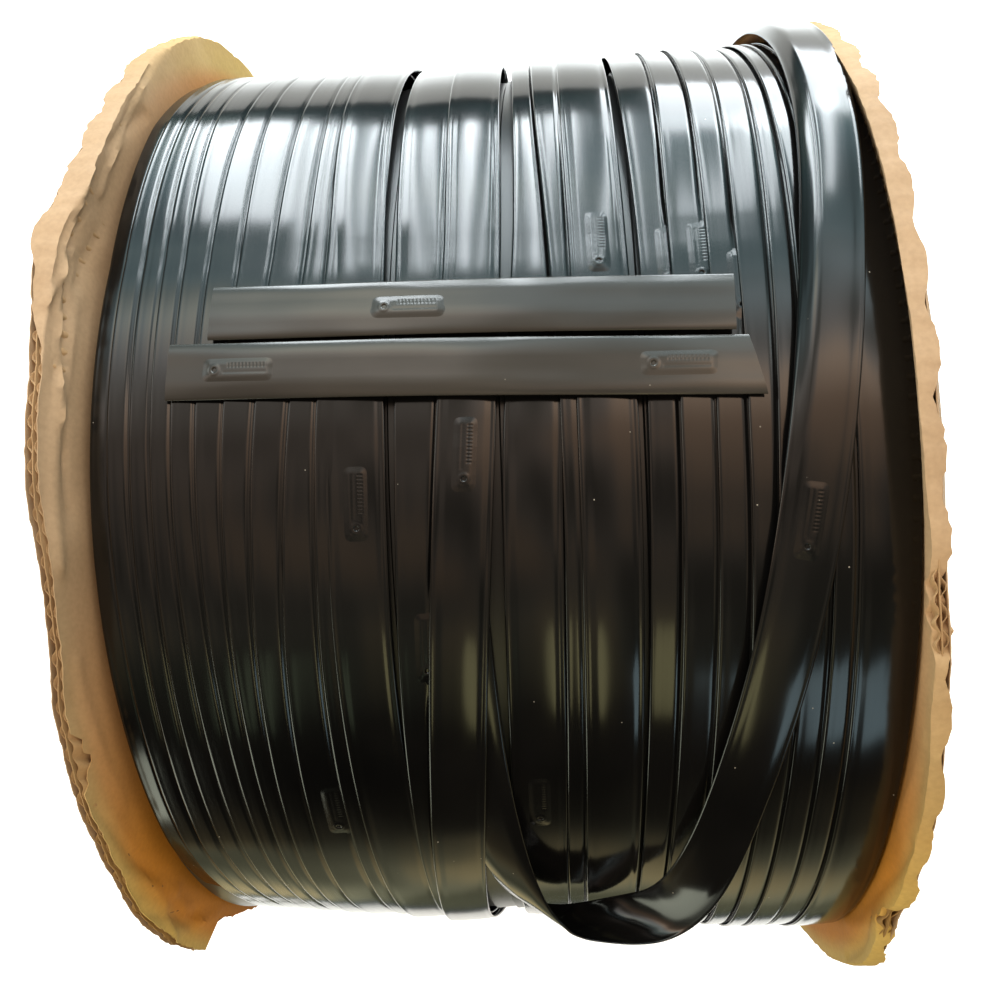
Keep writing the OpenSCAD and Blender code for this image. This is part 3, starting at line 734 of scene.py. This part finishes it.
def board_place(side, radius, angle, depth):
    """Where a point of the flat board, given by its radius, angle and depth, lies on the worn disc."""
    shape = rim_shape[side]
    face, thick, rim = [np.interp(angle % 360, shape[:, 0], shape[:, k]) / 1000 for k in (1, 2, 3)]
    bend = np.clip((radius - bent_from) / (board_radius - bent_from), 0, 1) ** 2.2
    near_rim = np.clip((radius - crushed_from) / (board_radius - crushed_from), 0, 1)
    swollen = near_rim ** 1.6
    x = (board_face + (face - board_face) * bend
         - (board_thickness - depth) * (1 + (thick / board_thickness - 1) * swollen))
    # Towards the rim it is crushed, or has spread, to its radius there.
    r = np.where(radius > worn_from, worn_from + (radius - worn_from) * (rim - worn_from)
                 / (board_radius - worn_from), radius)
    x = x + crumple(angle, radius, 1.3 if side == "left" else 4.1)
    for a0, r0, a1, r1, width, height in creases[side]:
        p = np.stack([(angle - a0) * rim_degree, radius * 1000 - r0], -1)
        d = np.array([(a1 - a0) * rim_degree, r1 - r0])
        t = np.clip(p @ d / (d @ d), 0, 1)
        off = np.linalg.norm(p - t[..., None] * d, axis=-1) / width
        x = x - height / 1000 * np.exp(-off ** 2 * 1.5) * np.clip(near_rim * 3, 0, 1) * (1 - depth / 0.012)
    # It leans on the tape below its rim, and over it only past the winding.
    x = np.maximum(x, np.interp(r, [0.288, 0.304], [0.1791, 0.1710]) + depth * 0.9)
    return on_reel(angle, x * (-1 if side == "left" else 1), r)


# The cut where the left rim has broken off at the front: its distance from the axis, and half of it
# as an angle round the reel, in degrees.
break_at, break_half = 0.284, 13.99


def worn_rim(side, angle, radius):
    """Keeps the rim above the floor, on which the reel's weight has pressed it flat, and takes away
    what has broken off the left one."""
    below = np.maximum(-np.sin(np.radians(angle)), 1e-6)
    radius = np.minimum(radius, (axle_height - 0.0003) / below)
    if side == "left":
        off = (angle + 180) % 360 - 180
        ragged = (break_at + 2 * fray(angle, 5.0)) / np.cos(np.radians(off))
        radius = np.where(np.abs(off) < break_half, np.minimum(radius, ragged), radius)
    return radius


# The length of paper that is folded over a rim, where all of it is, and the points round a rim.
fold_length = 0.012
rim_points = 600


def board_paper(side, paper, tears, seed, fold=False):
    """One flat paper of a disc: a circle extruded outwards ring by ring, then pushed into shape. The
    rings past the board's radius are the part that is folded over the rim."""
    depth = paper_depth[paper]
    radii = [board_hole, 0.09, 0.14, 0.19, 0.22, 0.24, 0.255, 0.266, 0.274, 0.280, 0.284, 0.2875, 0.2905,
             0.293, 0.2955, 0.298, 0.3, 0.302, 0.304, 0.3055, 0.307, 0.3082, board_radius]
    folds = 8 if fold else 0
    piece = upright_circle(side + "_" + paper + "_board", rim_points, board_hole, (0, 0, 0))
    r = board_hole
    for nr in radii[1:] + [board_radius + (k + 1) * fold_length / 8 for k in range(folds)]:
        bpy.ops.mesh.extrude_edges_move(TRANSFORM_OT_translate={"value": (0, 0, 0)})
        bpy.ops.transform.resize(value=(1, nr / r, nr / r), center_override=(0, 0, 0))
        r = nr
    bpy.ops.object.mode_set(mode="OBJECT")
    v = get_places(piece)
    radius = np.hypot(v[:, 1], v[:, 2])
    angle = np.degrees(np.arctan2(v[:, 2], -v[:, 1])) % 360
    limit = board_radius + fray(angle, seed)
    for a0, deep, half in tears:
        near = np.abs((angle - a0 + 180) % 360 - 180) / half
        limit = limit - deep / 1000 * np.clip(1 - near ** 2, 0, 1) * (1 + 0.35 * np.sin(angle * 2.7 + seed))
    limit = worn_rim(side, angle, limit)
    past = np.clip(radius - board_radius, 0, 1)
    flat = np.minimum(radius, board_radius)
    torn = worn_from + (flat - worn_from) * (limit - worn_from) / (board_radius - worn_from)
    bent = board_place(side, np.where(flat > worn_from, torn, flat), angle, depth + 0 * angle)
    if fold:
        reach = np.interp(angle, rim_shape[side][:, 0], rim_shape[side][:, 4]) / 1000
        loosely = np.clip(reach / 0.004, 0, 1)
        uneven = 0.0016 * np.sin(angle * 0.9 + seed) + 1.5 * fray(angle * 1.7, seed + 1)
        over = past / fold_length * np.maximum(reach + loosely * uneven, 0)
        sign = -1 if side == "left" else 1
        bulge = (0.0009 * np.sin(np.clip(over / 0.004, 0, 1) * np.pi / 2)
                 - 0.00035 * np.clip(over / 0.01, 0, 1) ** 2)
        bent = bent + over[:, None] * np.array([sign, 0, 0]) + bulge[:, None] * outward(angle)
    set_places(piece, bent)
    closed(piece)
    thicken(piece, liner_thickness, 0)
    bpy.ops.object.shade_smooth_by_angle(angle=np.radians(60))
    return piece


def waved_paper(side, paper, height, pitch, seed):
    """One waved paper: a grid folded into upright flutes, cut to the disc's outline and bent with it."""
    points_across, points_up = 561, 27
    piece = new_grid(side + "_" + paper + "_board", points_across, points_up)[0]
    flat = get_places(piece)
    y = flat[:, 0] * (board_radius - 0.0012)
    part = np.sign(flat[:, 1]) * (1 - (1 - np.abs(flat[:, 1])) ** 1.25)
    rim = board_radius - 0.0008 + 0.6 * fray(np.degrees(np.arcsin(y / board_radius)), seed)
    z = part * np.sqrt(np.maximum(rim ** 2 - y ** 2, 1e-9))
    z = np.maximum(z, -axle_height + 0.001)
    radius = np.hypot(y, z)
    angle = np.degrees(np.arctan2(z, -y)) % 360
    wave = np.sin(2 * np.pi * y / pitch + 0.35 * np.sin(z * 40 + seed))
    depth = paper_depth[paper] + (height / 2 - 0.0003) * np.clip(wave * 1.25, -1, 1)
    edge = worn_rim(side, angle, board_radius - 0.0002 + 0 * radius) - 0.0006
    radius = np.minimum(np.maximum(radius, board_hole), edge)
    set_places(piece, board_place(side, radius, angle, depth))
    only(piece)
    thicken(piece, fluting_thickness, 0)
    bpy.ops.object.shade_smooth()
    return piece


def kraft(name, painted_lit_color, warm, painted_shade_color):
    """Kraft paper with painted light and shade: a painted paler tone high up, where the day falls on it,
    browner low down, and a painted shade in beside the tape; mottled, with faint upright lines over the
    flutes and a fine grain."""
    material, tree, shader = new_material(name)
    place = add_node(tree, "ShaderNodeTexCoord").outputs["Object"]
    up = add_node(tree, "ShaderNodeSeparateXYZ", place).outputs["Z"]
    off_axis = add_node(tree, "ShaderNodeVectorMath", place, (0, 0, axle_height), operation="SUBTRACT")
    upright = add_node(tree, "ShaderNodeVectorMath", off_axis.outputs[0], (0, 1, 1), operation="MULTIPLY")
    radius = add_node(tree, "ShaderNodeVectorMath", upright.outputs[0], operation="LENGTH").outputs["Value"]
    # Painted light: the paper turns paler high up, where the day falls on it.
    high = add_node(tree, "ShaderNodeMapRange", up, From_Min=0.46, From_Max=0.61,
                    interpolation_type="SMOOTHSTEP")
    # Painted shade: in beside the tape, away from the rim, the paper turns darker.
    rim = add_node(tree, "ShaderNodeMapRange", radius, From_Min=0.295, From_Max=board_radius,
                   interpolation_type="SMOOTHSTEP")
    low = mixed(tree, rim.outputs["Result"], (*painted_shade_color, 1), (*warm, 1))
    painted_light_and_shade = mixed(tree, high.outputs["Result"], low, (*painted_lit_color, 1))
    clouds = noise(tree, place, 11.0, 5.0)
    mottle = ramp(tree, clouds, [(0.3, (0.84, 0.82, 0.80)), (0.7, (1.08, 1.08, 1.08))])
    grain = noise(tree, place, 420.0, 3.0)
    spots = ramp(tree, grain, [(0.3, (0.92, 0.91, 0.90)), (0.65, (1.03, 1.03, 1.03))])
    lines = add_node(tree, "ShaderNodeTexWave", place, Scale=37.9, Distortion=0.4, Detail=1.0,
                     bands_direction="Y")
    waves = bumpy(tree, lines.outputs["Fac"], 0.08, 0.0004)
    set_inputs(tree, shader, {
        "Base Color": mixed(tree, 1, mixed(tree, 1, painted_light_and_shade, mottle, "MULTIPLY"), spots, "MULTIPLY"),
        "Roughness": 0.75, "Specular IOR Level": 0.3,
        "Normal": bumpy(tree, grain, 0.15, 0.0003, bumpy(tree, clouds, 0.5, 0.0025, waves))})
    return material


# Each paper's painted lit colour high up, its colour low down at the rim, and its painted shade in beside the
# tape.
liner_paper = kraft("kraft_liner_paper", (0.44, 0.29, 0.17), (0.52, 0.345, 0.095), (0.50, 0.19, 0.018))
outer_paper = kraft("kraft_outer_paper", (0.44, 0.29, 0.17), (0.44, 0.29, 0.16), (0.40, 0.26, 0.14))
flute_paper = kraft("kraft_flute_paper", (0.42, 0.26, 0.13), (0.32, 0.18, 0.055), (0.22, 0.09, 0.02))
outer_papers = {"inner_liner": liner_paper, "outer_liner": outer_paper}
# Tears in the rims: their angle, depth in millimetres and half width in degrees.
paper_tears = {("left", "inner_liner"): [(51, 7, 3), (226, 6, 4)],
               ("right", "inner_liner"): [(63, 7, 4), (28, 5, 3)]}
# Height and pitch of the flutes, and where they start.
flutes = {"fine_fluting": (0.0028, 0.0084, 2.0), "coarse_fluting": (0.0036, 0.0096, 5.0)}
for side in ("left", "right"):
    for number, paper in enumerate(paper_depth):
        if paper in flutes:
            piece = waved_paper(side, paper, *flutes[paper])
        else:
            piece = board_paper(side, paper, paper_tears.get((side, paper), []), number + 3.0,
                                fold=paper == "inner_liner")
        piece.data.materials.append(outer_papers.get(paper, flute_paper))
        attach(piece, "reel")
        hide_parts(side + "_" + paper)

# ---- Core tube ---------------------------------------------------------------------------------
# A tube of grey-brown paper, glued in spiral plies. The first layer of tape is wound on it, and the
# hub plugs are pressed into its ends.
tube_paper, tree, shader = new_material("tube_paper")
place = add_node(tree, "ShaderNodeTexCoord").outputs["Object"]
wraps = add_node(tree, "ShaderNodeTexWave", place, Scale=9.0, Distortion=1.5, bands_direction="DIAGONAL")
wrap_color = ramp(tree, wraps.outputs["Fac"], [(0, (0.30, 0.22, 0.14)), (1, (0.40, 0.31, 0.21))])
set_inputs(tree, shader, {"Base Color": wrap_color, "Roughness": 0.85,
                          "Normal": bumpy(tree, wraps.outputs["Fac"], 0.2, 0.0004)})


def finish_node(node, material):
    """Gives a CAD node that stays a better material."""
    for material_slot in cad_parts[node].material_slots:
        material_slot.material = material


finish_node("core_tube", tube_paper)

# ---- Hub plugs ---------------------------------------------------------------------------------
# Black plastic mouldings pressed into the two ends of the core tube. Their rims hold the discs
# against it, and their bushes turn on the payout spindle.
plug_plastic, tree, shader = new_material("plug_plastic")
spark = noise(tree, add_node(tree, "ShaderNodeTexCoord").outputs["Object"], 650.0, 3.0)
plug_color = ramp(tree, spark, [(0.3, (0.018, 0.018, 0.019)), (0.7, (0.032, 0.031, 0.031))])
set_inputs(tree, shader, {"Base Color": plug_color, "Roughness": 0.5,
                          "Normal": bumpy(tree, spark, 0.3, 0.0002)})
for node in ("left_hub_plug", "right_hub_plug"):
    finish_node(node, plug_plastic)

# ---- Floor and light ---------------------------------------------------------------------------
# A plain pale floor, in a dim room with a wide window behind the reel.
bpy.ops.object.select_all(action="DESELECT")
bpy.ops.mesh.primitive_plane_add(size=6, location=(0, 2.52, 0))
floor = bpy.context.object
floor.name = "floor"
floor_paint, tree, shader = new_material("floor_paint")
floor_noise = noise(tree, add_node(tree, "ShaderNodeTexCoord").outputs["Object"], 3.0, 2.0)
floor_color = ramp(tree, floor_noise, [(0, (0.86, 0.86, 0.85)), (1, (0.9, 0.9, 0.89))])
set_inputs(tree, shader, {"Base Color": floor_color, "Roughness": 0.9,
                          "Emission Color": (0.94, 0.98, 1, 1), "Emission Strength": 0.6})
floor.data.materials.append(floor_paint)


def soft_light(name, place, aim, size, power, color, shape="RECTANGLE"):
    data = bpy.data.lights.new(name, "AREA")
    data.shape = shape
    data.size, data.size_y = size
    data.energy = power
    data.color = color
    lamp = bpy.data.objects.new(name, data)
    bpy.context.scene.collection.objects.link(lamp)
    lamp.matrix_world = (Matrix.Translation(place)
                         @ (Vector(aim) - Vector(place)).to_track_quat("-Z", "Y").to_matrix().to_4x4())
    return lamp


soft_light("window", (0.1, 1.6, 1.60), (0, 0, 0.45), (2.2, 1.5), 9, (0.58, 0.84, 0.92))
# The window's panes: place along X, width, height of the middle, height and strength.
for pane_x, pane_width, pane_z, pane_height, strength in (
        (-0.53, 0.28, 1.28, 1.0, 46), (-0.345, 0.05, 1.5, 1.3, 70), (-0.22, 0.05, 1.45, 1.2, 60),
        (-0.04, 0.07, 1.5, 1.3, 75), (0.13, 0.05, 1.5, 1.3, 60), (0.36, 0.06, 1.6, 1.1, 60),
        (0.60, 0.15, 1.35, 1.0, 34), (0.50, 0.50, 0.70, 0.60, 30)):
    soft_light("pane", (pane_x, 1.45, pane_z), (pane_x, 0, pane_z - 0.5), (pane_width, pane_height),
               strength * pane_width * pane_height, (0.90, 0.96, 1.0))
# A lit doorway in front, and a cooler one beside it, seen as a soft glint on each turn.
soft_light("doorway", (0.16, -1.7, 1.42), (0.1, 0, 0.5), (0.21, 0.78), 0.78, (1.0, 0.92, 0.45), "ELLIPSE")
soft_light("side_doorway", (-0.52, -1.7, 1.30), (0, 0, 0.5), (0.12, 0.7), 0.14, (0.80, 1.0, 0.62), "ELLIPSE")
# At the right a cool wall, seen in the turns beside the loose one.
soft_light("side_wall", (0.85, -1.7, 1.05), (0.1, 0, 0.4), (0.40, 0.60), 1.6, (0.62, 0.86, 0.95))
# Low at the left a bright opening, seen in the slack of the loose turn.
soft_light("opening", (-1.7, -1.5, 0.42), (0, -0.1, 0.36), (2.0, 0.8), 17, (0.95, 1.0, 0.80))
# The room's own light, which isn't mirrored.
from_front = soft_light("room", (0.2, -1.6, 2.4), (0, 0, 0.3), (2.4, 1.6), 32, (1.0, 0.93, 0.82))
from_front.visible_glossy = False
world = bpy.data.worlds.new("room")
world.use_nodes = True
bpy.context.scene.world = world
sky = world.node_tree
background = sky.nodes["Background"]
direction = add_node(sky, "ShaderNodeTexCoord").outputs["Generated"]
parts = add_node(sky, "ShaderNodeSeparateXYZ", direction).outputs
frontward = add_node(sky, "ShaderNodeMath", parts["Y"], -1, operation="MULTIPLY").outputs[0]
# Half turns from the front over the top to the back, from -1/3 to 1.
over_top = add_node(sky, "ShaderNodeMath", parts["Z"], frontward, operation="ARCTAN2").outputs[0]
half_turns = add_node(sky, "ShaderNodeMapRange", over_top, From_Min=-np.pi / 3, From_Max=np.pi)
room = ramp(sky, half_turns.outputs["Result"], [
    (0.0, (0.05, 0.10, 0.11)), (0.02, (0.80, 0.75, 0.45)), (0.11, (0.60, 0.56, 0.33)),
    (0.18, (0.10, 0.09, 0.055)), (0.25, (0.012, 0.011, 0.009)), (0.33, (0.02, 0.019, 0.015)),
    (0.38, (0.15, 0.15, 0.10)), (0.43, (0.28, 0.25, 0.18)), (0.48, (0.30, 0.24, 0.18)),
    (0.55, (0.45, 0.35, 0.27)), (0.62, (1.0, 0.74, 0.57)), (0.655, (2.2, 1.8, 1.5)), (0.70, (2.4, 2.2, 2.0)),
    (0.745, (2.4, 2.8, 2.8)), (0.785, (0.8, 1.1, 1.1)), (0.86, (0.55, 0.85, 0.9)), (0.93, (0.40, 0.68, 0.70)),
    (0.965, (0.16, 0.32, 0.33)), (1.0, (0.07, 0.17, 0.18))])
uneven = ramp(sky, noise(sky, direction, 2.6, 0.6), [(0.36, (0.3, 0.33, 0.33)), (0.5, (0.9, 0.95, 1.0)),
                                                     (0.64, (1.7, 1.5, 1.3))])
walls = mixed(sky, 1, room, uneven, "MULTIPLY")
# Behind the object there is only a plain pale wall; the room itself shows in what the film mirrors.
ray = add_node(sky, "ShaderNodeLightPath").outputs["Is Camera Ray"]
set_inputs(sky, background, {"Color": mixed(sky, ray, walls, (1, 1, 1, 1)), "Strength": 1.0})

scene_view = bpy.context.scene.view_settings
scene_view.view_transform = "Standard"
